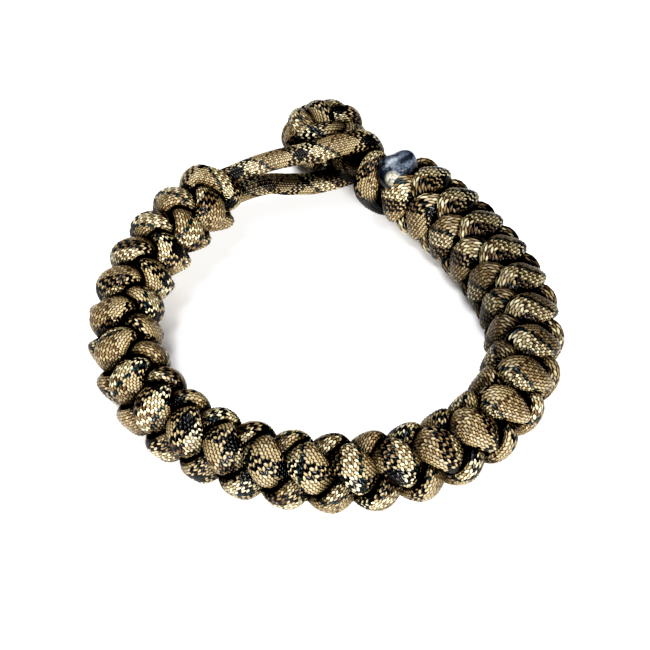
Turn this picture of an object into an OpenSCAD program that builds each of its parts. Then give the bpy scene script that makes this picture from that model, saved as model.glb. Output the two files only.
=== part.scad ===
// Paracord bracelet: a four-strand round braid bent to a ring, closed by a loop over a button knot.
// The ring lies on the plane z = 0, its wrist opening round the Z axis and its closure at the back (+Y).

/* [Cord] */
// Diameter of the round cord before the braid squeezes it
cord_d = 4; // [3.8:0.1:4.2]
// Gap left between the ends of two lengths of the same cord
cut_gap = 0.3; // [0.25:0.05:0.5]

/* [Ring] */
// Mean diameter of the ring, measured along the middle of the braid
ring_d = 66; // [64:0.5:70]
// How far the ring is longer front to back than side to side
ring_oval = 0.5; // [0:0.1:0.8]
// How far the ring leans to one diagonal
ring_lean = 1; // [0.7:0.1:1.2]
// How far the closure draws the back of the ring outwards
ring_draw = 1.3; // [0.8:0.1:1.5]
// How square the ring is
ring_square = 0.3; // [0:0.1:0.4]

/* [Braid] */
// Length of one full turn of a cord round the braid, in cord diameters
lay_ratio = 3.26; // [3.2:0.02:3.5]
// Turn of the crossings about the braid's own axis where the braid starts
roll_start_deg = 103; // [100:1:106]
// The same turn where the braid ends
roll_end_deg = 118; // [116:1:120]

/* [Closure] */
// Width of the button knot, side to side
button_w = 14.8; // [14.4:0.1:15.2]
// Depth and height of the button knot
button_h = 12.2; // [12:0.1:12.4]
// Turn of the button's weave about its own pole
button_turn_deg = 20; // [0:5:90]
// Width of the melted cord end
melt_w = 6.8; // [6:0.1:7]
// Thickness of the melted cord end
melt_h = 4; // [3.6:0.1:4.2]

/* [Hidden] */

// Path of a strand across the braid, as an oval with a little third harmonic
reach_out = 1.25 * cord_d;
reach_out_3 = -0.0625 * cord_d;
reach_in = 0.475 * cord_d;
reach_in_3 = 0.1 * cord_d;
// Section of a strand where it passes over, half way, and where it passes under
strand_w = [1.22, 1.02, 0.72] * cord_d;
strand_t = [0.68, 0.73, 0.55] * cord_d;
strand_tip_deg = 45;
over_r = reach_out + reach_out_3;
// Height of the middle line, with which the lowest turns just rest on the plane
rest_h = over_r + strand_t[0] / 2 + 0.05 * cord_d;

// Distances from the back of the ring to the two ends of the braid, along the ring
start_gap = 5.75 * cord_d;
end_gap = 3.6 * cord_d;

steps_per_turn = 12;
strand_sides = 8;
camo = ["#9c8a66", "#8a7450", "#a5946e", "#7d6a4a"];

// Ring
function ring_r(a) = ring_d / 2 - ring_oval * cos(2 * a) - ring_lean * sin(2 * a)
    - ring_draw * sin(3 * a) + ring_square * cos(4 * a);
function ring_at(a) = ring_r(a) * [cos(a), sin(a)];

// Running length along the ring against angle, from well before the back to well past it
arc = [for (a = 30, s = 0; a <= 510; s = s + norm(ring_at(a + 2) - ring_at(a)), a = a + 2) [s, a]];
arc_of = [for (p = arc) [p[1], p[0]]];
back_s = lookup(90, arc_of);
ring_len = lookup(450, arc_of) - back_s;
back = [0, ring_r(90), rest_h];

function angle_at(s) = lookup(s + back_s, arc);
function along(s) = let (a = angle_at(s), d = ring_at(a + 1) - ring_at(a - 1)) [d.x, d.y, 0] / norm(d);
function outward(s) = let (t = along(s)) [t.y, -t.x, 0];
// A point at length s, u outwards and w upwards from the middle line of the braid
function put(s, u = 0, w = 0) = let (p = ring_at(angle_at(s))) [p.x, p.y, rest_h + w] + u * outward(s);
// The same point given by its distance and direction from the middle line
function put_polar(s, r, dir) = put(s, r * cos(dir), r * sin(dir));

// Braid
start_s = start_gap;
end_s = ring_len - end_gap;
turns = round((end_s - start_s) / (lay_ratio * cord_d));
lay = (end_s - start_s) / turns;

function hand(k) = k % 2 == 0 ? 1 : -1;
function side(k) = k < 2 ? 1 : -1;
function first_turn(k) = k % 2 == 0 ? 90 : 0;
function roll_at(s) = roll_start_deg + (roll_end_deg - roll_start_deg) * (s - start_s) / (end_s - start_s);
function strand_s(k, t) = start_s + lay * (t - first_turn(k)) / 360;
function strand_at(k, t) =
    let (s = strand_s(k, t),
         a = side(k) * (reach_out * cos(t) + reach_out_3 * cos(3 * t)),
         b = side(k) * hand(k) * (reach_in * sin(t) + reach_in_3 * sin(3 * t)),
         q = roll_at(s) + (hand(k) > 0 ? 45 : 135))
    put(s, a * cos(q) - b * sin(q), a * sin(q) + b * cos(q));
// Blend of three values: where the strand is over, half way and under
function blend(v, t) = (v[0] + v[2] + 2 * v[1]) / 4 + (v[0] - v[2]) / 2 * cos(2 * t)
    + (v[0] + v[2] - 2 * v[1]) / 4 * cos(4 * t);

// Sweeps
// A station holds [point, forward, up, width, thickness]; up is squared off against forward
function unit(v) = v / norm(v);
function square_up(up, fwd, tip) =
    let (r = unit(up - (up * fwd) * fwd))
    r * cos(tip) + cross(fwd, r) * sin(tip);
function station(p, fwd, up, w, t, tip = 0) = [p, fwd, square_up(up, fwd, tip), w, t];
function section(st, sides) = [for (j = [0:sides - 1]) let (a = 360 * (j + 0.5) / sides)
    st[0] + st[4] / 2 * cos(a) * st[2] + st[3] / 2 * sin(a) * cross(st[1], st[2])];

function strand_station(k, t) =
    let (p = strand_at(k, t))
    station(p, unit(strand_at(k, t + 1) - strand_at(k, t - 1)), p - put(strand_s(k, t)),
            blend(strand_w, t), blend(strand_t, t), strand_tip_deg * sin(2 * t) * hand(k));

// Smooth curve through the points of a route; its first and last points only set the end directions
function route_at(r, x) =
    let (i = max(0, min(len(r) - 4, floor(x))), f = x - i,
         a = r[i], b = r[i + 1], c = r[i + 2], d = r[i + 3])
    b + f / 2 * (c - a + f * (2 * a - 5 * b + 4 * c - d + f * (3 * (b - c) + d - a)));
function route_dir(r, x) = unit(route_at(r, x + 0.02) - route_at(r, x - 0.02));

module sweep(stations, sides) {
    n = len(stations);
    quads = [for (i = [0:n - 2], j = [0:sides - 1])
        let (k = (j + 1) % sides) [i * sides + j, i * sides + k, (i + 1) * sides + k, (i + 1) * sides + j]];
    walls = [for (q = quads, f = [[q[0], q[2], q[1]], [q[0], q[3], q[2]]]) f];
    caps = [[for (j = [0:sides - 1]) j], [for (j = [sides - 1:-1:0]) (n - 1) * sides + j]];
    polyhedron([for (st = stations) each section(st, sides)], concat(walls, caps), convexity = 12);
}

// Ring of stations that closes on itself
module sweep_closed(stations, sides) {
    n = len(stations);
    quads = [for (i = [0:n - 1], j = [0:sides - 1])
        let (k = (j + 1) % sides, m = (i + 1) % n)
        [i * sides + j, i * sides + k, m * sides + k, m * sides + j]];
    polyhedron([for (st = stations) each section(st, sides)],
               [for (q = quads, f = [[q[0], q[2], q[1]], [q[0], q[3], q[2]]]) f], convexity = 12);
}

// A length of cord along a route; w and t are tables of width and thickness against the share of its length
module cord_along(route, steps, w, t, up) {
    last = len(route) - 3;
    sweep([for (i = [0:steps]) let (x = last * i / steps, p = route_at(route, x))
        station(p, route_dir(route, x), up(p), lookup(i / steps, w), lookup(i / steps, t))], strand_sides);
}

// Strands
module strand(k, cut = 0) {
    t0 = first_turn(k);
    step = 360 / steps_per_turn;
    color(camo[k])
        sweep([for (i = [0:turns * steps_per_turn - cut]) strand_station(k, t0 + i * step)], strand_sides);
}
module strand_a() { strand(0); }
module strand_b() { strand(1); }
module strand_c() { strand(2); }
module strand_d() { strand(3, 3); }

// Closure loop: upper leg, eye round the button's neck, lower leg
// Turns by which a cord is cut short where it passes over and where it passes under
over_cut = cut_gap / norm(strand_at(3, 1) - strand_at(3, 0));
under_cut = cut_gap / norm(strand_at(2, 91) - strand_at(2, 90));
// Degrees of turn for which a cord that leaves the braid still follows its old path
lead_deg = 18;
// Points of the loop behind the ring, in cord diameters from the back of the ring
upper_leg = [[-3.45, -0.95, 0.6], [-2, -0.5, 0.8], [-0.3, -0.2, 1], [1.4, 0.3, 1.1]];
eye = [[2.1, 0.5, 0.85], [2.35, 0.65, 0.1], [2.05, 0.55, -0.7]];
lower_leg = [[0.9, 0.1, -0.85], [-0.3, -0.35, -0.85], [-1.45, -0.5, -0.8], [-2.75, -0.6, -0.75]];
eye_mid = back + [1.7, 0.35, 0] * cord_d;
leg_start = put(start_s - 0.5 * cord_d);
loop_route = concat(
    [for (t = [105, 90 - under_cut, 90 - lead_deg]) strand_at(2, t)],
    [put(start_s - 0.5 * cord_d, 0.5 * cord_d, 0.2 * cord_d)],
    [for (p = concat(upper_leg, eye, lower_leg)) back + p * cord_d],
    [put(start_s - 0.85 * cord_d, 0.2 * cord_d, -0.9 * cord_d)],
    [for (t = [-lead_deg, -over_cut, 15]) strand_at(1, t)]);
leg_w = [[0, strand_w[2]], [0.12, 0.8 * cord_d], [0.85, 0.8 * cord_d], [1, 1.1 * cord_d]];
leg_t = [[0, strand_t[2]], [0.12, 0.8 * cord_d], [0.85, 0.8 * cord_d], [1, strand_t[0]]];

// Direction away from the middle of the loop
function loop_up(p) =
    let (v = eye_mid - leg_start, f = max(0, min(1, (p - leg_start) * v / (v * v)))) p - leg_start - f * v;

module closure_loop() {
    color(camo[2]) cord_along(loop_route, 26, leg_w, leg_t, function (p) loop_up(p));
}

// Collar: the second cord's bight, one arch across the legs
function start_put(ds, a, b) = let (q = roll_start_deg + 45)
    put(start_s - ds, a * cos(q) - b * sin(q), a * sin(q) + b * cos(q));
// Distance past the start of the braid, and the place across it along the two lines of crossings
collar_points = [[0.6, 0.85, -0.8], [0.8, 1.15, -0.1], [0.6, 0.9, 0.42]];
collar_route = concat([for (t = [15, -over_cut, -lead_deg]) strand_at(3, t)],
    [for (p = collar_points * cord_d) start_put(p[0], p[1], p[2])],
    [for (t = [90 - under_cut, 105]) strand_at(0, t)]);
collar_axis = put(start_s - 0.3 * cord_d);
bight_w = [[0, strand_w[0]], [0.5, strand_w[0]], [1, strand_w[2]]];
bight_t = [[0, strand_t[0]], [0.5, strand_t[0]], [1, strand_t[2]]];

module collar() {
    color(camo[3]) cord_along(collar_route, 10, bight_w, bight_t, function (p) p - collar_axis);
}

// End wrap: the last turn of a strand round the neck
function end_put(ds, a, b) = let (q = roll_end_deg + 45)
    put(end_s + ds, a * cos(q) - b * sin(q), a * sin(q) + b * cos(q));
last_t = 360 * turns;
wrap_points = [[0.72, 0.8, 0.8], [1, 1.11, 0.15], [1.08, 0.81, -0.66],
               [1.1, 0.05, -1.07], [1.1, -0.5, -1.12]];
wrap_route = concat([for (t = [-15, over_cut, lead_deg]) strand_at(1, last_t + t)],
    [for (p = wrap_points * cord_d) end_put(p[0], p[1], p[2])]);
wrap_axis = put(end_s + 0.8 * cord_d);
wrap_w = [[0, strand_w[0]], [0.25, cord_d], [0.6, cord_d], [1, strand_w[2]]];

module end_wrap() {
    color(camo[1]) cord_along(wrap_route, 10, wrap_w, bight_t, function (p) p - wrap_axis);
}

// Melted end: the last strand's cut end, melted to a lump on top of the braid
// Place of the lump, past the end of the braid and outwards, and how far its foot is above the middle line
melt_place = [-0.3, -0.2] * cord_d;
melt_foot = 0.9 * cord_d;

module melted_end() {
    c = put(end_s + melt_place[0], melt_place[1], melt_foot + melt_h / 2);
    f = along(end_s);
    up = unit([outward(end_s).x, outward(end_s).y, 0] * -0.25 + [0, 0, 1]);
    bands = 6;
    around = 14;
    lump = function (a, b) 1 + 0.07 * cos(3 * a) * cos(b) + 0.05 * sin(2 * a + 40);
    rows = [for (i = [1:bands - 1]) let (b = -90 + 180 * i / bands)
        [for (j = [0:around - 1]) let (a = 360 * j / around, r = lump(a, b))
            c + r * melt_w / 2 * cos(b) * (cos(a) * f + sin(a) * cross(up, f)) + melt_h / 2 * sin(b) * up]];
    n = bands - 1;
    pts = concat([for (r = rows) each r], [c - melt_h / 2 * up, c + melt_h / 2 * up]);
    walls = [for (i = [0:n - 2], j = [0:around - 1]) let (k = (j + 1) % around,
        a = i * around + j, b = i * around + k, e = a + around, g = b + around) each [[a, g, b], [a, e, g]]];
    caps = [for (j = [0:around - 1]) let (k = (j + 1) % around)
        each [[n * around, j, k], [n * around + 1, (n - 1) * around + k, (n - 1) * around + j]]];
    color("#5d6672") polyhedron(pts, concat(walls, caps), convexity = 4);
}

// Neck: the two cords that leave the braid and go through the eye to the button
button_c = back + [0.05 * cord_d, button_h / 2 + 0.275 * cord_d, 0.05 * cord_d];
neck_w = [[0, strand_w[2]], [1, 0.68 * cord_d]];
neck_t = [[0, strand_t[2]], [1, 0.62 * cord_d]];
// Near the braid a point is given past its end and outwards, near the button from the back of the ring
neck_a_route = concat([for (t = [75, 90 + under_cut, 90 + lead_deg]) strand_at(0, last_t + t)],
    [for (p = [[1.08, 0.47], [1.85, 0.41]] * cord_d) put(end_s + p[0], p[1])],
    [for (p = [[1.4, 0.45, 0], [1.1, 0.85, 0]] * cord_d) back + p]);
neck_b_route = concat([for (t = [75, 90 + under_cut, 90 + lead_deg]) strand_at(2, last_t + t)],
    [for (p = [[1.1, -0.38], [2.07, -0.31]] * cord_d) put(end_s + p[0], p[1])],
    [for (p = [[0.8, 0, 0], [0.5, 0.4, 0]] * cord_d) back + p]);

module neck_a() { color(camo[0]) cord_along(neck_a_route, 6, neck_w, neck_t, function (p) [0, 0, 1]); }
module neck_b() { color(camo[2]) cord_along(neck_b_route, 6, neck_w, neck_t, function (p) [0, 0, 1]); }

// Button knot: three leads and four bights woven over a ball
leads = 3;
bights = 4;
button_cord_w = 0.62 * cord_d;
button_cord_t = 0.56 * cord_d;
button_swing = 0.31 * cord_d;
button_mid = button_h / 2 - button_swing / 2 - button_cord_t / 2;
button_lat_deg = 52;
pole = unit([0.42, -0.23, 0.88]);
pole_x = unit([1, 0, -pole.x / pole.z]);
stretch = button_w / button_h;

function button_at(t) =
    let (lat = button_lat_deg * sin(bights * t / leads),
         r = button_mid + button_swing * sin(2 * bights * t / leads),
         turn = t + button_turn_deg,
         flat = cos(turn) * pole_x + sin(turn) * cross(pole, pole_x),
         p = r * (cos(lat) * flat + sin(lat) * pole))
    button_c + [p.x * stretch, p.y, p.z];

module button_knot() {
    n = 18 * leads;
    color(camo[1]) sweep_closed([for (i = [0:n - 1])
        let (t = 360 * leads * i / n, p = button_at(t), fwd = unit(button_at(t + 1) - button_at(t - 1)))
        station(p, fwd, p - button_c, button_cord_w, button_cord_t)], strand_sides);
}

strand_a();
strand_b();
strand_c();
strand_d();
closure_loop();
collar();
end_wrap();
melted_end();
neck_a();
neck_b();
button_knot();
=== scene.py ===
"""Paracord bracelet: two camouflage cords braided to a ring, closed by a loop over a button knot."""
import math

import bpy
import numpy as np
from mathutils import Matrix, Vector


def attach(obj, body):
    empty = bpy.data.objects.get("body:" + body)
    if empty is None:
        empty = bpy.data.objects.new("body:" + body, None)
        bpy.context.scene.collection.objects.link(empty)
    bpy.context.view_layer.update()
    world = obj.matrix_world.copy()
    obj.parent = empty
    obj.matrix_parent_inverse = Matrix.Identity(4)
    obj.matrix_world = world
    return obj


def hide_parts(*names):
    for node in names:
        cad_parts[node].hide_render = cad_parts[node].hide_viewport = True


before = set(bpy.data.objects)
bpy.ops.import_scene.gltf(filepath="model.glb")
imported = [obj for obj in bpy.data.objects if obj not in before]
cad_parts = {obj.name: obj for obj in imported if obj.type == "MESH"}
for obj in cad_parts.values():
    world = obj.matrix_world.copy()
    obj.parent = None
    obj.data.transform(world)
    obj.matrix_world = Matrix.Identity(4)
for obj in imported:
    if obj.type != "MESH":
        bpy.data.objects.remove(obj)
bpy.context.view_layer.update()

# Sizes are in millimetres and the paths are those of the part's source
MM = 0.001
CORD = 4.0

# Ring: diameter of the braid's middle line and how far that line is from round
RING_D = 66.0
RING_OVAL, RING_LEAN, RING_DRAW, RING_SQUARE = 0.5, 1.0, 1.3, 0.3
BACK_ANGLE = 90.0

# Braid: what the closure takes of the ring on each side of the back, length of one turn in cord
# diameters, and how far the section is rolled at each end, in degrees
START_GAP, END_GAP = 5.75 * CORD, 3.6 * CORD
LAY_RATIO = 3.26
ROLL_START, ROLL_END = 103.0, 118.0

# How far a strand swings outwards and sideways; each _3 is a second swing, three times as quick.
# The sideways swing widens between two shares of the braid, on the right limb.
REACH_OUT, REACH_OUT_3 = 1.25 * CORD, -0.0625 * CORD
WIDENING = (0.55, 0.8)
SIDE_REACH = (0.53 * CORD, 0.62 * CORD)
SIDE_REACH_3 = (0.02 * CORD, 0.245 * CORD)

# Height of the braid's middle line: its outward swing, half a strand of the source and its lift
HALF_STRAND, LIFT = 0.34 * CORD, 0.05 * CORD
REST_HEIGHT = REACH_OUT + REACH_OUT_3 + HALF_STRAND + LIFT

# Section of a soft cord where it passes over, half way and where it passes under, how far it tips
# to the side half way, in degrees, and how round its corners are (1 is an ellipse, less is squarer)
SOFT_WIDTH = (5.7, 5.4, 3.8)
SOFT_THICK = (2.7, 2.4, 2.2)
STRAND_TIP = 24.0
ROUNDNESS = 0.8
OVER_W, UNDER_W = SOFT_WIDTH[0], SOFT_WIDTH[2]
OVER_T, UNDER_T = SOFT_THICK[0], SOFT_THICK[2]

# Sheath: yarn columns round the cord, how much they crowd on the flat faces, which keeps them evenly
# wide, length, lean and stagger of one pick, height of its relief, and how steeply it falls to its edge
YARN_COLUMNS = 26
CROWDING = 0.5
PICK = 0.46
PICK_LEAN, PICK_STAGGER = 0.5, 0.25
RELIEF = 0.13
PICK_FALL = 0.85
SIDES = 2 * YARN_COLUMNS
RING_STEP = PICK / 2


# Ring
def ring_radius(a):
    a = np.radians(a)
    return (RING_D / 2 - RING_OVAL * np.cos(2 * a) - RING_LEAN * np.sin(2 * a)
            - RING_DRAW * np.sin(3 * a) + RING_SQUARE * np.cos(4 * a))


def ring_at(a):
    return np.stack([ring_radius(a) * np.cos(np.radians(a)), ring_radius(a) * np.sin(np.radians(a))], -1)


def running_length(points):
    return np.concatenate([[0.0], np.cumsum(np.linalg.norm(np.diff(points, axis=0), axis=1))])


# Once round from the back, with 60 degrees to spare on both sides
RING_ANGLES = np.arange(BACK_ANGLE - 60, BACK_ANGLE + 421, 0.5)
RING_RUN = running_length(ring_at(RING_ANGLES))
BACK_RUN = np.interp(BACK_ANGLE, RING_ANGLES, RING_RUN)
RING_LENGTH = np.interp(BACK_ANGLE + 360, RING_ANGLES, RING_RUN) - BACK_RUN
BACK = np.array([0.0, float(ring_radius(np.array(BACK_ANGLE))), REST_HEIGHT])


def put(s, u=0.0, w=0.0):
    """Point at length s from the back, u outwards and w upwards from the middle line of the braid."""
    s, u, w = np.broadcast_arrays(np.asarray(s, float), np.asarray(u, float), np.asarray(w, float))
    a = np.interp(s + BACK_RUN, RING_RUN, RING_ANGLES)
    t = ring_at(a + 1) - ring_at(a - 1)
    t /= np.linalg.norm(t, axis=-1, keepdims=True)
    p = ring_at(a) + u[..., None] * np.stack([t[..., 1], -t[..., 0]], -1)
    return np.concatenate([p, (REST_HEIGHT + w)[..., None]], -1)


# Braid
START = START_GAP
END = RING_LENGTH - END_GAP
TURNS = round((END - START) / (LAY_RATIO * CORD))
LAY = (END - START) / TURNS
LAST = 360.0 * TURNS


def hand(k):
    """1 for the strands that wind one way, -1 for the others."""
    return 1 if k % 2 == 0 else -1


def first_turn(k):
    """Turn in degrees at which strand k enters the braid."""
    return 90.0 if k % 2 == 0 else 0.0


def strand_run(k, turn):
    """Length from the back at which strand k has turned that far."""
    return START + LAY * (turn - first_turn(k)) / 360


def strand_at(k, turn):
    """Middle of strand k, 0 to 3, at a turn in degrees."""
    turn = np.asarray(turn, float)
    s, t = strand_run(k, turn), np.radians(turn)
    side = 1 if k < 2 else -1
    share = (s - START) / (END - START)
    out = side * (REACH_OUT * np.cos(t) + REACH_OUT_3 * np.cos(3 * t))
    across = side * hand(k) * (np.interp(share, WIDENING, SIDE_REACH) * np.sin(t)
                               + np.interp(share, WIDENING, SIDE_REACH_3) * np.sin(3 * t))
    q = np.radians(ROLL_START + (ROLL_END - ROLL_START) * share + (45 if hand(k) > 0 else 135))
    return put(s, out * np.cos(q) - across * np.sin(q), out * np.sin(q) + across * np.cos(q))


def blend(sizes, turn):
    """Value between those where a strand is over, half way and under."""
    over, half, under = sizes
    t = np.radians(turn)
    middle = (over + under + 2 * half) / 4
    return middle + (over - under) / 2 * np.cos(2 * t) + (over + under - 2 * half) / 4 * np.cos(4 * t)


def unit(v):
    return v / np.maximum(np.linalg.norm(v, axis=-1, keepdims=True), 1e-12)


def forward(points):
    return unit(np.gradient(points, axis=0))


def square_up(up, fwd):
    """The part of up that is square to the way ahead."""
    return unit(up - (up * fwd).sum(-1, keepdims=True) * fwd)


# A length of cord is a dict of its points p, the way up that its flat side faces, its width w, its
# thickness t and the vector out from the middle of what it is wound into. The longer that vector is,
# the lighter the sheath is painted, and a short one paints it in shade; a cord in the open has OPEN_REACH.
OPEN_REACH = 6.0


def braided(k, turns):
    p = strand_at(k, turns)
    fwd = forward(p)
    out = p - put(strand_run(k, turns))
    up = square_up(out, fwd)
    tip = np.radians(STRAND_TIP) * np.sin(2 * np.radians(turns)) * hand(k)
    up = up * np.cos(tip)[:, None] + np.cross(fwd, up) * np.sin(tip)[:, None]
    return {"p": p, "up": up, "w": blend(SOFT_WIDTH, turns), "t": blend(SOFT_THICK, turns), "out": out}


def routed(points, widths, thicks, up_of, out_of=None, per_span=24):
    """Smooth curve through the points of a route; its first and last points only set the end directions."""
    r = np.array(points, float)
    x = np.linspace(0, len(r) - 3, (len(r) - 3) * per_span + 1)
    i = np.minimum(x.astype(int), len(r) - 4)
    f = (x - i)[:, None]
    a, b, c, d = r[i], r[i + 1], r[i + 2], r[i + 3]
    p = b + f / 2 * (c - a + f * (2 * a - 5 * b + 4 * c - d + f * (3 * (b - c) + d - a)))
    share = x / x[-1]
    up = square_up(up_of(p), forward(p))
    out = out_of(p) if out_of else up * OPEN_REACH
    return {"p": p, "up": up, "w": np.interp(share, *zip(*widths)), "t": np.interp(share, *zip(*thicks)),
            "out": out}


def backwards(length):
    return {key: value[::-1] for key, value in length.items()}


def past_end(s0, roll, sign):
    """Gives points by distance past an end of the braid, across and along its roll, in cord diameters."""
    q = math.radians(roll + 45)

    def point(past, a, b):
        return put(s0 + sign * past * CORD, CORD * (a * math.cos(q) - b * math.sin(q)),
                   CORD * (a * math.sin(q) + b * math.cos(q)))
    return point


# Where a route meets a strand, its point beyond and its last point inside are these degrees away
BEYOND, LEAD = 15.0, 18.0


def leaving(k, turn, way):
    """Three points at which a route leaves strand k, going on along its turns (1) or back (-1)."""
    return [strand_at(k, turn + way * step) for step in (-BEYOND, 0, LEAD)]


# Closure loop: upper leg, eye round the button's neck and lower leg, in cord diameters from the back. Its
# feet are told by their distance before the braid, outwards and upwards. Widths and thicknesses stand at
# shares of a length, here and below.
UPPER_LEG = [(-3.45, -0.95, 0.6), (-2, -0.5, 0.8), (-0.3, -0.2, 1), (1.4, 0.3, 1.1)]
EYE = [(2.1, 0.5, 0.85), (2.35, 0.65, 0.1), (2.05, 0.55, -0.7)]
LOWER_LEG = [(0.9, 0.1, -0.85), (-0.3, -0.35, -0.85), (-1.45, -0.5, -0.8), (-2.75, -0.6, -0.75)]
EYE_MIDDLE = (1.7, 0.35, 0)
LEGS_START = 0.5
UPPER_FOOT, LOWER_FOOT = (0.5, 0.5, 0.2), (0.85, 0.2, -0.9)
LOOP_WIDTHS = [(0, UNDER_W), (0.12, 3.7), (0.4, 4.0), (0.6, 4.0), (0.85, 3.6), (1, OVER_W)]
LOOP_THICKS = [(0, UNDER_T), (0.12, 3.2), (0.85, 3.2), (1, OVER_T)]


def before_braid(past, out=0.0, up=0.0):
    return put(START - past * CORD, out * CORD, up * CORD)


def closure_loop():
    """The first cord's bight, its flat side turned away from the middle of the loop."""
    legs = before_braid(LEGS_START)
    length = BACK + np.array(EYE_MIDDLE) * CORD - legs

    def away(p):
        share = np.clip((p - legs) @ length / (length @ length), 0, 1)
        return p - legs - share[:, None] * length

    route = leaving(2, 90, -1)
    route += [before_braid(*UPPER_FOOT)]
    route += [BACK + np.array(p) * CORD for p in UPPER_LEG + EYE + LOWER_LEG]
    route += [before_braid(*LOWER_FOOT)]
    route += leaving(1, 0, -1)[::-1]
    return routed(route, LOOP_WIDTHS, LOOP_THICKS, away)


# Collar: the middle of its arch before the braid, and the arch itself past the braid's start
COLLAR_AXIS = 0.3
COLLAR_ARCH = [(0.62, 0.68, -0.62), (0.86, 0.86, -0.02), (0.66, 0.78, 0.44)]
COLLAR_WIDTHS = [(0, 4.6), (0.25, 3.9), (0.6, 3.9), (1, UNDER_W)]
COLLAR_THICKS = [(0, OVER_T), (0.5, OVER_T), (1, UNDER_T)]


def collar():
    """The second cord's bight, one arch across the legs of the loop."""
    axis = before_braid(COLLAR_AXIS)
    at_start = past_end(START, ROLL_START, -1)
    route = leaving(3, 0, -1)
    route += [at_start(*p) for p in COLLAR_ARCH]
    route += [strand_at(0, turn) for turn in (90, 90 + BEYOND)]
    return routed(route, COLLAR_WIDTHS, COLLAR_THICKS, lambda p: p - axis)


# End wrap: its middle and its way round the neck past the braid's end, and the heights between which its
# painted shade fades to full colour
WRAP_AXIS = 0.8
WRAP_TURN = [(0.72, 0.8, 0.8), (1, 1.11, 0.15), (1.08, 0.81, -0.66), (1.1, 0.05, -1.07), (1.1, -0.5, -1.12)]
WRAP_WIDTHS = [(0, OVER_W), (0.25, 4.4), (0.6, 4.6), (1, UNDER_W)]
WRAP_THICKS = [(0, OVER_T), (0.5, 3.3), (1, UNDER_T)]
WRAP_HEIGHTS, WRAP_REACHES = (5.2, 8.4), (1.6, OPEN_REACH)


def end_wrap():
    """The last turn of a strand round the neck, painted in shade where it goes down."""
    axis = put(END + WRAP_AXIS * CORD)
    at_end = past_end(END, ROLL_END, 1)

    # The reach shrinks lower down, so the wrap's lower part is painted in shade
    def painted_shade_reach(p):
        return unit(p - axis) * np.interp(p[:, 2], WRAP_HEIGHTS, WRAP_REACHES)[:, None]

    route = leaving(1, LAST, 1) + [at_end(*p) for p in WRAP_TURN]
    return routed(route, WRAP_WIDTHS, WRAP_THICKS, lambda p: p - axis, painted_shade_reach)


# Neck and button: overall size of the knot and its place, and the neck's reach, kept short so that the neck
# is painted in shade
BUTTON_W, BUTTON_H = 15.4, 12.4
BUTTON_MIDDLE = BACK + np.array([0.05 * CORD, BUTTON_H / 2 + 0.275 * CORD, 0.05 * CORD])
NECK_WIDTHS = [(0, UNDER_W), (0.3, 3.2), (1, 3.6)]
NECK_THICKS = [(0, UNDER_T), (0.3, 2.8), (1, 3.2)]
NECK_REACH = 3.0


def upright(z):
    """The same upright vector for every point of a route."""
    return lambda p: np.broadcast_to(np.array([0, 0, z], float), p.shape)


def neck(k, near_braid, near_button, up_z):
    """One of the two cords that go from the braid's end through the eye into the button."""
    route = leaving(k, LAST + 90, 1)
    route += [put(END + past * CORD, out * CORD) for past, out in near_braid]
    route += [BACK + np.array(p) * CORD for p in near_button]
    route += [BUTTON_MIDDLE, BUTTON_MIDDLE + (0, 2, 0)]
    # The short upright reach paints the neck in shade
    return routed(route, NECK_WIDTHS, NECK_THICKS, upright(up_z), upright(NECK_REACH))


# Button knot: a round of leads and bights woven over a ball and followed twice, the two rounds side by
# side. SWING lifts the cord over a crossing and SINK is the share of it taken off the ball. LAT and TURN,
# in degrees, are how near the poles the cord goes and where the round starts. The rounds lie APART on
# each side of their middle line and change sides at SWAP, more or less abruptly. LIGHT shortens the
# knot's reach and so paints it a little into shade, and POLE is the way that the ball's pole points.
LEADS, BIGHTS, ROUNDS = 3, 4, 2
BUTTON_CORD_W, BUTTON_CORD_T = 3.8, 3.2
BUTTON_SWING, BUTTON_SINK = 0.95, 0.7
BUTTON_LAT, BUTTON_TURN = 50.0, 38.0
BUTTON_APART, BUTTON_SWAP, SWAP_ABRUPTNESS = 1.7, 0.6, 12
BUTTON_LIGHT = 0.78
BUTTON_POINTS = 3601
POLE = unit(np.array([0.42, -0.23, 0.88]))
POLE_X = unit(np.array([1, 0, -POLE[0] / POLE[2]]))


def ahead(points):
    """Direction along a closed round."""
    d = unit(np.roll(points[:-1], -1, axis=0) - np.roll(points[:-1], 1, axis=0))
    return np.vstack([d, d[:1]])


def button_knot():
    t = np.radians(np.linspace(0, 360 * ROUNDS * LEADS, BUTTON_POINTS))
    lat = math.radians(BUTTON_LAT) * np.sin(BIGHTS * t / LEADS)
    turn = t + math.radians(BUTTON_TURN)
    ball = BUTTON_H / 2 - BUTTON_SWING * BUTTON_SINK - BUTTON_CORD_T / 2
    r = ball + BUTTON_SWING * np.sin(2 * BIGHTS * t / LEADS)
    flat = np.cos(turn)[:, None] * POLE_X + np.sin(turn)[:, None] * np.cross(POLE, POLE_X)
    p = r[:, None] * (np.cos(lat)[:, None] * flat + np.sin(lat)[:, None] * POLE)
    swap = np.clip(SWAP_ABRUPTNESS * np.cos(t / (ROUNDS * LEADS) + BUTTON_SWAP), -1, 1)
    p = p + BUTTON_APART * swap[:, None] * np.cross(ahead(p), unit(p))
    p = BUTTON_MIDDLE + p * (BUTTON_W / BUTTON_H, 1, 1)
    return {"p": p, "up": square_up(p - BUTTON_MIDDLE, ahead(p)), "out": (p - BUTTON_MIDDLE) * BUTTON_LIGHT,
            "w": np.full(len(p), BUTTON_CORD_W), "t": np.full(len(p), BUTTON_CORD_T)}


# Cords: lengths joined end to end, with the sheath following the cord and not the braid. What turns
# sharply where two lengths meet is smoothed over this many rings to each side.
SMOOTH_RINGS, SMOOTH_SPREAD = 12, 4.0


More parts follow.
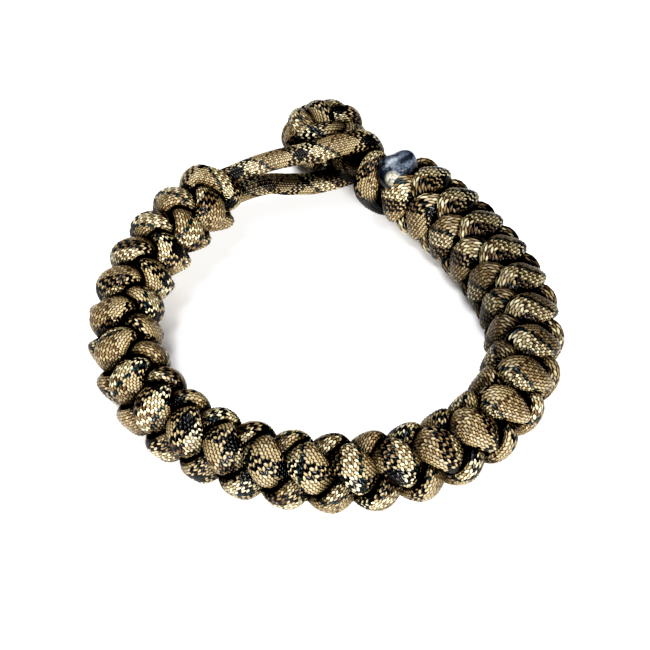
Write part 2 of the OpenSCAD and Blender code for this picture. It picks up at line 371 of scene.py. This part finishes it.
def joined(lengths):
    """One cord from several lengths, with even rings, and the ring at which each length ends."""
    parts = [{k: v[1 if i else 0:] for k, v in part.items()} for i, part in enumerate(lengths)]
    cord = {k: np.concatenate([part[k] for part in parts]) for k in ("p", "up", "w", "t", "out")}
    for i in range(1, len(cord["up"])):
        if cord["up"][i] @ cord["up"][i - 1] < 0:
            cord["up"][i:] = -cord["up"][i:]

    run = running_length(cord["p"])
    rings = int(round(run[-1] / RING_STEP))
    even = np.linspace(0, run[-1], rings + 1)
    out = {"run": even}
    for key in ("p", "up", "out"):
        out[key] = np.stack([np.interp(even, run, cord[key][:, j]) for j in range(3)], -1)
    for key in ("w", "t"):
        out[key] = np.interp(even, run, cord[key])

    near = np.exp(-0.5 * (np.arange(-SMOOTH_RINGS, SMOOTH_RINGS + 1) / SMOOTH_SPREAD) ** 2)
    near /= near.sum()
    for key in ("up", "out"):
        padded = np.pad(out[key], ((SMOOTH_RINGS, SMOOTH_RINGS), (0, 0)), "edge")
        out[key] = np.stack([np.convolve(padded[:, j], near, "valid") for j in range(3)], -1)
    out["up"] = square_up(out["up"], forward(out["p"]))

    last_points = np.cumsum([len(part["p"]) for part in parts]) - 1
    ends = np.searchsorted(even, run[last_points] - RING_STEP / 2)
    return out, [0] + [int(e) for e in ends]


def follow_sheath(cord):
    """Adds the angle from the sheath's first yarn to the flat side, so that the yarns don't twist."""
    fwd = forward(cord["p"])
    m = cord["up"][0]
    phase = np.zeros(len(fwd))
    for i in range(1, len(fwd)):
        m = m - (m @ fwd[i]) * fwd[i]
        m /= np.linalg.norm(m)
        phase[i] = math.atan2(np.cross(m, cord["up"][i]) @ fwd[i], m @ cord["up"][i])
    cord["phase"] = np.unwrap(phase)


# Unevenness: slow waves of a cord's width and thickness, their lengths, and a full turn in radians
WAVES, WAVE_LENGTHS, FULL_TURN = 6, (4, 22), 6.28
UNEVEN_WIDTH, UNEVEN_THICK = 0.03, 0.02


def unevenness(run, seed):
    """Slow small changes of size along a cord, as hand braiding leaves them."""
    rng = np.random.default_rng(seed)
    waves = [(rng.uniform(*WAVE_LENGTHS), rng.uniform(0, FULL_TURN)) for _ in range(WAVES)]
    return sum(np.sin(run / length * FULL_TURN + start) for length, start in waves) / len(waves) ** 0.5


# Node trees: the sheet they are drawn on, and the woven picks that relief and colour share
class Sheet:
    """A node tree under construction; each method returns an output socket."""

    def __init__(self, tree):
        self.tree = tree

    def add(self, kind, inputs=(), out=0, **settings):
        node = self.tree.nodes.new(kind)
        for key, value in settings.items():
            setattr(node, key, value)
        for slot, value in dict(inputs).items():
            socket = node.inputs[slot]
            if isinstance(value, bpy.types.NodeSocket):
                self.tree.links.new(value, socket)
            else:
                socket.default_value = value
        return node.outputs[out]

    def math(self, op, a, b=0.0, c=0.0):
        return self.add("ShaderNodeMath", {0: a, 1: b, 2: c}, operation=op)

    def vec(self, op, a, b=(0, 0, 0), scale=1.0, out=0):
        inputs = {0: a, 3: scale} if op == "SCALE" else {0: a, 1: b}
        return self.add("ShaderNodeVectorMath", inputs, out=out, operation=op)

    def combine(self, x, y, z=0.0):
        return self.add("ShaderNodeCombineXYZ", {0: x, 1: y, 2: z})

    def split(self, vector):
        return self.add("ShaderNodeSeparateXYZ", {0: vector}).node.outputs

    def between(self, value, start, end, at_start=0.0, at_end=1.0, kind="LINEAR"):
        """Goes from at_start to at_end while the value goes from start to end."""
        return self.add("ShaderNodeMapRange", {0: value, 1: start, 2: end, 3: at_start, 4: at_end},
                        interpolation_type=kind)

    def mixed(self, share, first, second, kind="MIX"):
        return self.add("ShaderNodeMix", {0: share, 6: first, 7: second}, out=2, data_type="RGBA",
                        blend_type=kind)

    def ramp(self, factor, stops, kind):
        node = self.add("ShaderNodeValToRGB", {0: factor}).node
        node.color_ramp.interpolation = kind
        bands = node.color_ramp.elements
        while len(bands) < len(stops):
            bands.new(0.5)
        for band, (place, colour) in zip(bands, stops):
            band.position = place
            band.color = (*colour, 1)
        return node.outputs[0]


# Added before a value is rounded down, so that a ring or a side on a pick's edge falls in that pick
EDGE = 0.0001


def pick_of(sheet, across, along):
    """Woven picks in columns that lean left and right by turns: height of the pick, its row and column."""
    m = sheet.math
    scaled = m("MULTIPLY", across, YARN_COLUMNS)
    column = m("FLOOR", m("ADD", scaled, EDGE))
    inside = m("SUBTRACT", scaled, column)
    lean = m("SUBTRACT", 1.0, m("MULTIPLY", m("MODULO", column, 2.0), 2.0))
    shifted = m("MULTIPLY_ADD", lean, PICK_STAGGER, along)
    slant = m("MULTIPLY", lean, m("MULTIPLY_ADD", inside, PICK_LEAN, -PICK_LEAN / 2))
    slanted = m("SUBTRACT", shifted, slant)
    row = m("FLOOR", m("ADD", slanted, EDGE))
    x = m("MULTIPLY_ADD", inside, 2.0, -1.0)
    y = m("MULTIPLY_ADD", m("SUBTRACT", slanted, row), 2.0, -1.0)
    from_middle = m("MULTIPLY_ADD", x, x, m("MULTIPLY", y, y))
    dome = m("SUBTRACT", 1.0, m("MULTIPLY", from_middle, PICK_FALL))
    return m("SQRT", m("MAXIMUM", dome, 0.0)), row, column


# What the node tree of the cord is given
TREE_INPUTS = (("Rings", "NodeSocketInt"), ("Sides", "NodeSocketInt"), ("Relief", "NodeSocketFloat"),
               ("Pick", "NodeSocketFloat"), ("Roundness", "NodeSocketFloat"),
               ("Sheath", "NodeSocketMaterial"))
# Corners of the grid closer than this, in metres, are one: the seam along the cord and its closed ends
WELD = 0.000002


def cord_tree():
    """Node tree that sweeps a cord along its rings and presses the woven sheath into it."""
    tree = bpy.data.node_groups.new("woven_cord", "GeometryNodeTree")
    face = tree.interface
    face.new_socket("Geometry", in_out="INPUT", socket_type="NodeSocketGeometry")
    for name, kind in TREE_INPUTS:
        face.new_socket(name, in_out="INPUT", socket_type=kind)
    face.new_socket("Geometry", in_out="OUTPUT", socket_type="NodeSocketGeometry")
    s = Sheet(tree)
    given = tree.nodes.new("NodeGroupInput").outputs
    path = given["Geometry"]

    grid = tree.nodes.new("GeometryNodeMeshGrid")
    tree.links.new(given["Rings"], grid.inputs["Vertices X"])
    tree.links.new(s.math("ADD", given["Sides"], 1.0), grid.inputs["Vertices Y"])
    grid.inputs["Size X"].default_value = grid.inputs["Size Y"].default_value = 1.0
    place = s.split(s.add("GeometryNodeInputPosition"))
    last_ring = s.math("SUBTRACT", given["Rings"], 1.0)
    ring = s.math("ROUND", s.math("MULTIPLY", s.math("ADD", place[0], 0.5), last_ring))
    across = s.math("ADD", place[1], 0.5)

    def sampled(kind, field):
        return s.add("GeometryNodeSampleIndex", {"Geometry": path, "Value": field, "Index": ring},
                     data_type=kind)

    def stored(kind, name):
        return sampled(kind, s.add("GeometryNodeInputNamedAttribute", {"Name": name}, data_type=kind))

    middle = sampled("FLOAT_VECTOR", s.add("GeometryNodeInputPosition"))
    up, side = stored("FLOAT_VECTOR", "up"), stored("FLOAT_VECTOR", "side")
    half_t, half_w = stored("FLOAT", "half_t"), stored("FLOAT", "half_w")
    run, phase, full = stored("FLOAT", "run"), stored("FLOAT", "phase"), stored("FLOAT", "full")
    out = stored("FLOAT_VECTOR", "out")

    along = s.math("DIVIDE", run, given["Pick"])
    height, _, _ = pick_of(s, across, along)
    turned = s.math("SUBTRACT", s.math("MULTIPLY", across, 2 * math.pi), phase)
    flatness = s.math("DIVIDE", s.math("SUBTRACT", half_w, half_t), s.math("ADD", half_w, half_t))
    crowding = s.math("MULTIPLY", flatness, s.math("SINE", s.math("MULTIPLY", turned, 2.0)))
    angle = s.math("MULTIPLY_ADD", crowding, -CROWDING, turned)

    def rounded(value):
        bent = s.math("POWER", s.math("ABSOLUTE", value), given["Roundness"])
        return s.math("MULTIPLY", s.math("SIGN", value), bent)

    cosine, sine = s.math("COSINE", angle), s.math("SINE", angle)
    relief = s.math("MULTIPLY", given["Relief"], height)
    out_t = s.math("ADD", s.math("MULTIPLY", rounded(cosine), half_t), s.math("MULTIPLY", cosine, relief))
    out_w = s.math("ADD", s.math("MULTIPLY", rounded(sine), half_w), s.math("MULTIPLY", sine, relief))
    offset = s.vec("ADD", s.vec("SCALE", up, scale=s.math("MULTIPLY", out_t, full)),
                   s.vec("SCALE", side, scale=s.math("MULTIPLY", out_w, full)))

    def keep(geometry, name, kind, domain, value):
        inputs = {"Geometry": geometry, "Name": name, "Value": value}
        return s.add("GeometryNodeStoreNamedAttribute", inputs, data_type=kind, domain=domain)

    skin = keep(grid.outputs["Mesh"], "sheath", "FLOAT2", "CORNER", s.combine(across, along))
    # reach: distance from the middle of the braid or knot, from which the sheath paints shade into its
    # folds
    skin = keep(skin, "reach", "FLOAT", "POINT", s.vec("LENGTH", s.vec("ADD", out, offset), out=1))
    skin = s.add("GeometryNodeSetPosition", {"Geometry": skin, "Position": s.vec("ADD", middle, offset)})
    skin = s.add("GeometryNodeMergeByDistance", {"Geometry": skin, "Distance": WELD})
    skin = s.add("GeometryNodeSetShadeSmooth", {"Geometry": skin})
    skin = s.add("GeometryNodeRealizeInstances", {"Geometry": skin})
    skin = s.add("GeometryNodeSetMaterial", {"Geometry": skin, "Material": given["Sheath"]})
    tree.links.new(skin, tree.nodes.new("NodeGroupOutput").inputs[0])
    return tree


def set_input(modifier, name, value):
    sockets = modifier.node_group.interface.items_tree
    modifier[next(i.identifier for i in sockets if i.name == name and i.in_out == "INPUT")] = value


def show(name, data):
    """New object in the scene."""
    shown = bpy.data.objects.new(name, data)
    bpy.context.scene.collection.objects.link(shown)
    return shown


def baked(carrier, name):
    """Plain mesh object from the carrier's evaluated geometry; the carrier is removed."""
    graph = bpy.context.evaluated_depsgraph_get()
    mesh = bpy.data.meshes.new_from_object(carrier.evaluated_get(graph))
    mesh.name = name
    rings = carrier.data
    bpy.data.objects.remove(carrier)
    bpy.data.meshes.remove(rings)
    return show(name, mesh)


# A piece runs on into its neighbours by this many rings, the outer ones at these shares of full size
OVERLAP = 3
SHRINKING = (0.6, 0.9, 1.0)


def ring_values(cord, index, full):
    """What each ring of a piece tells the node tree: name, kind and values, in metres."""
    fwd = forward(cord["p"])[index]
    up = cord["up"][index]
    return (("up", "FLOAT_VECTOR", up),
            ("side", "FLOAT_VECTOR", np.cross(fwd, up)),
            ("half_t", "FLOAT", cord["t"][index] / 2 * MM),
            ("half_w", "FLOAT", cord["w"][index] / 2 * MM),
            ("run", "FLOAT", (index + 0.5) * RING_STEP * MM),
            ("phase", "FLOAT", cord["phase"][index]),
            ("full", "FLOAT", full),
            ("out", "FLOAT_VECTOR", cord["out"][index] * MM))


def woven_piece(name, cord, first, last, tree, sheath, closed=False):
    """The rings first to last of a cord as one piece; a closed one has no ends."""
    if closed:
        index = np.arange(first, last + 1)
        full = np.ones(len(index))
    else:
        lo, hi = max(0, first - OVERLAP), min(len(cord["p"]) - 1, last + OVERLAP)
        index = np.arange(lo, hi + 1)
        full = np.interp(np.minimum(index - lo, hi - index), [0, 1, OVERLAP], SHRINKING)
        index = np.concatenate([index[:1], index, index[-1:]])
        full = np.concatenate([[0.0], full, [0.0]])

    mesh = bpy.data.meshes.new(name + "_rings")
    mesh.from_pydata((cord["p"][index] * MM).tolist(), [], [])
    for key, kind, value in ring_values(cord, index, full):
        layer = mesh.attributes.new(key, kind, "POINT")
        field = "vector" if kind == "FLOAT_VECTOR" else "value"
        layer.data.foreach_set(field, np.ascontiguousarray(value, np.float32).ravel())
    carrier = show(name + "_rings", mesh)
    sweep = carrier.modifiers.new("sweep", "NODES")
    sweep.node_group = tree
    for key, value in (("Rings", len(index)), ("Sides", SIDES), ("Relief", RELIEF * MM),
                       ("Pick", PICK * MM), ("Roundness", ROUNDNESS), ("Sheath", sheath)):
        set_input(sweep, key, value)
    return baked(carrier, name)


# Materials
def shader(name, **sockets):
    """A material, the sheet of its nodes and its surface, whose sockets are set by name."""
    material = bpy.data.materials.new(name)
    material.use_nodes = True
    surface = material.node_tree.nodes["Principled BSDF"]
    for key, value in sockets.items():
        surface.inputs[key.replace("_", " ")].default_value = value
    return material, Sheet(material.node_tree), surface


# Camouflage: colours of the yarns that go right and of those that go left, in their order round the
# sheath. Each yarn counts for two, because one that goes the other way shows between it and the next.
CREAM, SAND, TAN = (0.58, 0.52, 0.35), (0.32, 0.255, 0.155), (0.185, 0.135, 0.078)
BROWN, BLACK, TEAL = (0.09, 0.058, 0.030), (0.005, 0.005, 0.005), (0.010, 0.028, 0.032)
RIGHT_YARNS = [(8, SAND), (6, BLACK), (6, CREAM), (2, TEAL), (4, SAND)]
LEFT_YARNS = [(8, TAN), (4, SAND), (6, BLACK), (6, SAND), (2, BROWN)]
# Each pick is a little lighter or darker, and painted darker towards its edge, as painted shade in the gaps
# between picks
PICK_TONES, PICK_DARKEST = 0.35, 0.8
GAP_SHADE_POWER, GAP_SHADE_TONE = 1.4, 0.03
# Distance from the middle of the braid or knot at which the painted shade of a fold is black, and at which
# the painted shade ends
FOLD, OPEN = 0.0036, 0.0060
# Places to the right and to the back, in metres, between which the right limb turns darker and the left
# limb lighter, and by how much
RIGHT_FROM, RIGHT_TO, BACK_FROM, BACK_TO, DARKER = 0.012, 0.030, -0.026, -0.010, 0.42
LEFT_FROM, LEFT_TO, LIGHTER = -0.012, -0.030, 1.14
SHEATH_BUMP, SHEATH_BUMP_HEIGHT = 0.7, 0.0002


def yarn_bands(yarns):
    bands, start = [], 0
    for count, colour in yarns:
        bands.append((start / YARN_COLUMNS, colour))
        start += count
    return bands


def camo_cord():
    """Woven nylon sheath: yarns of six colours that cross one by one, each of one colour all along, with
    painted shade in the folds and in the gaps between picks.
    """
    material, s, surface = shader("camo_cord", Roughness=0.38, Specular_IOR_Level=0.4)
    uv = s.split(s.add("ShaderNodeUVMap", uv_map="sheath"))
    height, row, column = pick_of(s, uv[0], uv[1])
    parity = s.math("FLOORED_MODULO", s.math("ADD", row, column), 2.0)
    slope = s.math("MULTIPLY_ADD", parity, -2.0, 1.0)
    yarn = s.math("SUBTRACT", row, s.math("MULTIPLY", slope, column))
    yarn = s.math("FLOORED_MODULO", yarn, YARN_COLUMNS)
    place = s.math("DIVIDE", s.math("ADD", yarn, 0.5), YARN_COLUMNS)
    right = s.ramp(place, yarn_bands(RIGHT_YARNS), "CONSTANT")
    left = s.ramp(place, yarn_bands(LEFT_YARNS), "CONSTANT")
    dyed = s.mixed(s.math("GREATER_THAN", slope, 0.0), left, right)

    grain = s.add("ShaderNodeTexWhiteNoise", {0: s.combine(row, column)}, noise_dimensions="2D")
    tone = s.math("MULTIPLY_ADD", grain, PICK_TONES, PICK_DARKEST)
    # Painted shade in the gaps between picks, from the height of the pick
    edge = s.math("MULTIPLY_ADD", s.math("POWER", height, GAP_SHADE_POWER), 1.0, GAP_SHADE_TONE)
    # Painted shade in the folds, from the reach of each point
    reach = s.add("ShaderNodeAttribute", out=2, attribute_name="reach")
    painted_fold_light = s.between(reach, FOLD, OPEN, kind="SMOOTHSTEP")
    on_ring = s.split(s.add("ShaderNodeTexCoord", out=3))
    rightward = s.between(on_ring[0], RIGHT_FROM, RIGHT_TO, kind="SMOOTHSTEP")
    backward = s.between(on_ring[1], BACK_FROM, BACK_TO, kind="SMOOTHSTEP")
    leftward = s.between(on_ring[0], LEFT_FROM, LEFT_TO, 1.0, LIGHTER)
    limb = s.math("MULTIPLY_ADD", s.math("MULTIPLY", rightward, backward), -DARKER, leftward)
    shade = s.math("MULTIPLY", s.math("MULTIPLY", s.math("MULTIPLY", tone, limb), edge), painted_fold_light)
    shaded = s.mixed(1.0, dyed, s.combine(shade, shade, shade), "MULTIPLY")
    s.tree.links.new(shaded, surface.inputs["Base Color"])
    bump = s.add("ShaderNodeBump", {"Strength": SHEATH_BUMP, "Distance": SHEATH_BUMP_HEIGHT,
                                    "Height": height})
    s.tree.links.new(bump, surface.inputs["Normal"])
    return material


# Melted end: its length, width and thickness, its middle, the way its top faces, how far its length is
# turned in degrees, and the place of its pale spot from the middle
MELT_LONG, MELT_WIDE, MELT_THICK = 7.7, 7.3, 4.4
MELT_MIDDLE = put(END - 0.3 * CORD, -0.42 * CORD, 0.7 * CORD + 2)
MELT_FACE = unit(np.array([0.05, -0.60, 0.80]))
MELT_LEAN = 50.0
PALE_SPOT = np.array([-0.9, -2.2, 0.65])
# Heights from its middle at which its painted shade is darkest and its painted sheen bluest, radii in
# metres at which the pale spot starts and is fully pale, and how far specks fray its edge
PAINTED_SHADE_BELOW, PAINTED_SHEEN_ABOVE = -0.6, 2.2
PALE_SPOT_START, PALE_SPOT_FULL, PALE_SPOT_FRAY = 0.0020, 0.0013, 0.0008
# Clouds and specks: their scales, the shares of height (for the painted shade and sheen), speck and cloud
# in the blue, and the colours from dark to light on the lump and on its pale spot
CLOUD_SCALE, CLOUD_DETAIL, CLOUD_TWIST = 480.0, 6.0, 0.8
SPECK_SCALE, SPECK_DETAIL = 2600.0, 2.0
SHADE_AND_SHEEN_SHARE, BLUE_OF_SPECK, BLUE_OF_CLOUD = 0.30, 0.25, 0.55
BLUES = [(0.40, (0.002, 0.002, 0.003)), (0.54, (0.006, 0.008, 0.012)), (0.64, (0.02, 0.025, 0.034)),
         (0.76, (0.10, 0.115, 0.14))]
PALES = [(0.38, (0.10, 0.10, 0.085)), (0.6, (0.36, 0.35, 0.30))]
MELT_BUMP, MELT_BUMP_HEIGHT, BUMP_OF_SPECK = 0.5, 0.0004, 0.3


def melted_nylon():
    """Nylon melted and pressed, clouded and specked, painted black at its foot as painted shade and
    blue-grey on top as painted sheen, with one pale spot.
    """
    material, s, surface = shader("melted_nylon", Roughness=0.36, Specular_IOR_Level=0.35,
                                  Coat_Weight=0.15, Coat_Roughness=0.15)
    place = s.add("ShaderNodeTexCoord", out=3)
    cloud = s.add("ShaderNodeTexNoise", {"Vector": place, "Scale": CLOUD_SCALE, "Detail": CLOUD_DETAIL,
                                         "Distortion": CLOUD_TWIST})
    speck = s.add("ShaderNodeTexNoise", {"Vector": place, "Scale": SPECK_SCALE, "Detail": SPECK_DETAIL})
    middle = MELT_MIDDLE[2]
    # Painted shade at the foot and painted sheen on top, by height
    height = s.between(s.split(place)[2], (middle + PAINTED_SHADE_BELOW) * MM, (middle + PAINTED_SHEEN_ABOVE) * MM)
    blue = s.math("MULTIPLY_ADD", speck, BLUE_OF_SPECK, s.math("MULTIPLY", cloud, BLUE_OF_CLOUD))
    blue = s.math("MULTIPLY_ADD", height, SHADE_AND_SHEEN_SHARE, blue)
    body = s.ramp(blue, BLUES, "LINEAR")
    from_pale_spot = s.vec("DISTANCE", place, tuple((MELT_MIDDLE + PALE_SPOT) * MM), out=1)
    frayed = s.math("MULTIPLY_ADD", speck, PALE_SPOT_FRAY, from_pale_spot)
    pale = s.between(frayed, PALE_SPOT_START, PALE_SPOT_FULL)
    s.tree.links.new(s.mixed(pale, body, s.ramp(speck, PALES, "LINEAR")), surface.inputs["Base Color"])
    rough = s.math("ADD", cloud, s.math("MULTIPLY", speck, BUMP_OF_SPECK))
    bump = s.add("ShaderNodeBump", {"Strength": MELT_BUMP, "Distance": MELT_BUMP_HEIGHT, "Height": rough})
    s.tree.links.new(bump, surface.inputs["Normal"])
    return material


def pale_paper():
    material, _, surface = shader("pale_paper", Roughness=0.85)
    surface.inputs["Base Color"].default_value = (0.92, 0.92, 0.93, 1)
    return material


# Melted end's mesh: rings from foot to top and sides round it, how blunt it is, and its swellings, each
# with its size, its waves round the lump and from foot to top, and where they start, in radians
MELT_RINGS, MELT_SIDES = 40, 64
MELT_BLUNT = 0.8
SWELLINGS = [(0.07, 3, 0, math.pi / 2), (0.05, 2, 0, 0.7), (0.04, 5, 3, 0.0), (0.03, 1, 4, math.pi / 2)]


def melted_lump(material):
    """The cords' cut ends, melted to a lump on top of the braid's end."""
    level = unit(np.array([1, 0, -MELT_FACE[0] / MELT_FACE[2]]))
    lean = math.radians(MELT_LEAN)
    fwd = math.cos(lean) * level + math.sin(lean) * np.cross(MELT_FACE, level)
    across = np.cross(MELT_FACE, fwd)
    lat = np.linspace(-math.pi / 2, math.pi / 2, MELT_RINGS + 1)[1:-1, None]
    turn = np.linspace(0, 2 * math.pi, MELT_SIDES, endpoint=False)[None, :]
    lumps = 1 + sum(size * np.sin(round_it * turn + upward * lat + start) * np.cos(lat)
                    for size, round_it, upward, start in SWELLINGS)
    flat = (lumps * np.cos(lat) ** MELT_BLUNT)[..., None] / 2
    along = MELT_LONG * np.cos(turn)[..., None] * fwd + MELT_WIDE * np.sin(turn)[..., None] * across
    p = MELT_MIDDLE + flat * along + (lumps * MELT_THICK / 2 * np.sin(lat))[..., None] * MELT_FACE
    pole = MELT_THICK / 2 * MELT_FACE
    points = np.vstack([p.reshape(-1, 3), MELT_MIDDLE - pole, MELT_MIDDLE + pole]) * MM

    def corner(ring, side):
        return ring * MELT_SIDES + side % MELT_SIDES

    top = MELT_RINGS - 2
    foot_pole, top_pole = (top + 1) * MELT_SIDES, (top + 1) * MELT_SIDES + 1
    faces = [(corner(i, j), corner(i, j + 1), corner(i + 1, j + 1), corner(i + 1, j))
             for i in range(top) for j in range(MELT_SIDES)]
    faces += [(foot_pole, corner(0, j + 1), corner(0, j)) for j in range(MELT_SIDES)]
    faces += [(top_pole, corner(top, j), corner(top, j + 1)) for j in range(MELT_SIDES)]
    mesh = bpy.data.meshes.new("melted_lump")
    mesh.from_pydata(points.tolist(), [], faces)
    mesh.polygons.foreach_set("use_smooth", [True] * len(mesh.polygons))
    mesh.materials.append(material)
    return show("melted_lump", mesh)


# Assembly: strands have a point every few degrees, and strand_d ends short, under the melted end
STRAND_STEP, SHORT_BY = 3.0, 45
sheath, melted = camo_cord(), melted_nylon()
weave_tree = cord_tree()
turns = np.arange(0, LAST + 1, STRAND_STEP)

neck_a = neck(0, [(1.08, 0.47), (1.85, 0.41)], [(1.4, 0.45, 0)], -1)
neck_b = neck(2, [(1.1, -0.38), (2.07, -0.31)], [(0.8, 0, 0)], 1)
first_cord, first_ends = joined([backwards(neck_b), backwards(braided(2, turns + 90)), closure_loop(),
                                 braided(1, turns), end_wrap()])
second_cord, second_ends = joined([backwards(neck_a), backwards(braided(0, turns + 90)),
                                   backwards(collar()), braided(3, turns[turns <= LAST - SHORT_BY])])
knot_cord, _ = joined([button_knot()])

for seed, cord in enumerate((first_cord, second_cord, knot_cord)):
    follow_sheath(cord)
    cord["w"] = cord["w"] * (1 + UNEVEN_WIDTH * unevenness(cord["run"], seed))
    cord["t"] = cord["t"] * (1 + UNEVEN_THICK * unevenness(cord["run"], seed + 10))

pieces = []
for cord, ends, names in (
        (first_cord, first_ends, ("neck_b", "strand_c", "closure_loop", "strand_b", "end_wrap")),
        (second_cord, second_ends, ("neck_a", "strand_a", "collar", "strand_d"))):
    for name, first, last in zip(names, ends, ends[1:]):
        piece = woven_piece("cord_" + name, cord, first, last, weave_tree, sheath)
        pieces.append((piece, name, "camo_cord"))
knot_rings = len(knot_cord["p"])
knot = woven_piece("cord_button_knot", knot_cord, 0, knot_rings - 1, weave_tree, sheath, closed=True)
pieces.append((knot, "button_knot", "camo_cord"))
pieces.append((melted_lump(melted), "melted_end", "melted_nylon"))

for piece, node, slot in pieces:
    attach(piece, "root")
    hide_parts(node)

# Floor: pale paper under the lowest point, 6 m square
FLOOR_HALF = 3
lowest = min(min(v.co.z for v in piece.data.vertices) for piece, _, _ in pieces)
corners = [(x * FLOOR_HALF, y * FLOOR_HALF, lowest) for x, y in ((-1, -1), (1, -1), (1, 1), (-1, 1))]
floor_mesh = bpy.data.meshes.new("floor")
floor_mesh.from_pydata(corners, [], [(0, 1, 2, 3)])
floor_mesh.materials.append(pale_paper())
floor = show("floor", floor_mesh)

# Light: a large window in front and a smaller lamp overhead, in metres and watts, and a pale room
WINDOW = {"place": (0.24, -0.80, 0.33), "target": (0, 0, 0.005), "size": 0.42, "power": 21.0,
          "colour": (1.0, 0.98, 0.95)}
CEILING = {"place": (-0.20, 0.22, 0.55), "target": (0, 0, 0), "size": 0.30, "power": 5.2,
           "colour": (0.98, 0.99, 1.0)}
ROOM_LIGHT = 0.10
# Contrast of the picture: places on a curve from dark to light
CONTRAST = ((0.03, 0.002), (0.12, 0.06), (0.30, 0.30), (0.60, 0.70), (0.80, 0.95))


def soft_light(name, place, target, size, power, colour):
    lamp = bpy.data.lights.new(name, "AREA")
    lamp.size, lamp.energy, lamp.color = size, power, colour
    holder = show(name, lamp)
    holder.location = place
    holder.rotation_euler = (Vector(target) - Vector(place)).to_track_quat("-Z", "Y").to_euler()


soft_light("window", **WINDOW)
soft_light("ceiling", **CEILING)
world = bpy.data.worlds.new("studio")
bpy.context.scene.world = world
world.use_nodes = True
background = world.node_tree.nodes["Background"]
background.inputs["Color"].default_value = (1, 1, 1, 1)
background.inputs["Strength"].default_value = ROOM_LIGHT
view = bpy.context.scene.view_settings
view.view_transform = "Standard"
view.use_curve_mapping = True
for dark, light in CONTRAST:
    view.curve_mapping.curves[3].points.new(dark, light)
view.curve_mapping.update()

# Camera: angle above the surface, distance in metres, sensor and lens in millimetres, shift in shares of
# the picture, and the nearest and farthest that it sees, in metres
ELEVATION = math.radians(50)
DISTANCE = 0.280
SENSOR, LENS = 36, 92.5
SHIFT_X, SHIFT_Y = 0.0038, -0.0195
NEAREST, FARTHEST = 0.01, 20
camera_data = bpy.data.cameras.new("camera")
camera_data.sensor_width = SENSOR
camera_data.lens = LENS
camera_data.shift_x, camera_data.shift_y = SHIFT_X, SHIFT_Y
camera_data.clip_start, camera_data.clip_end = NEAREST, FARTHEST
camera = show("camera", camera_data)
camera.location = (0, -DISTANCE * math.cos(ELEVATION), DISTANCE * math.sin(ELEVATION) + REST_HEIGHT * MM)
camera.rotation_euler = (math.pi / 2 - ELEVATION, 0, 0)
bpy.context.scene.camera = camera
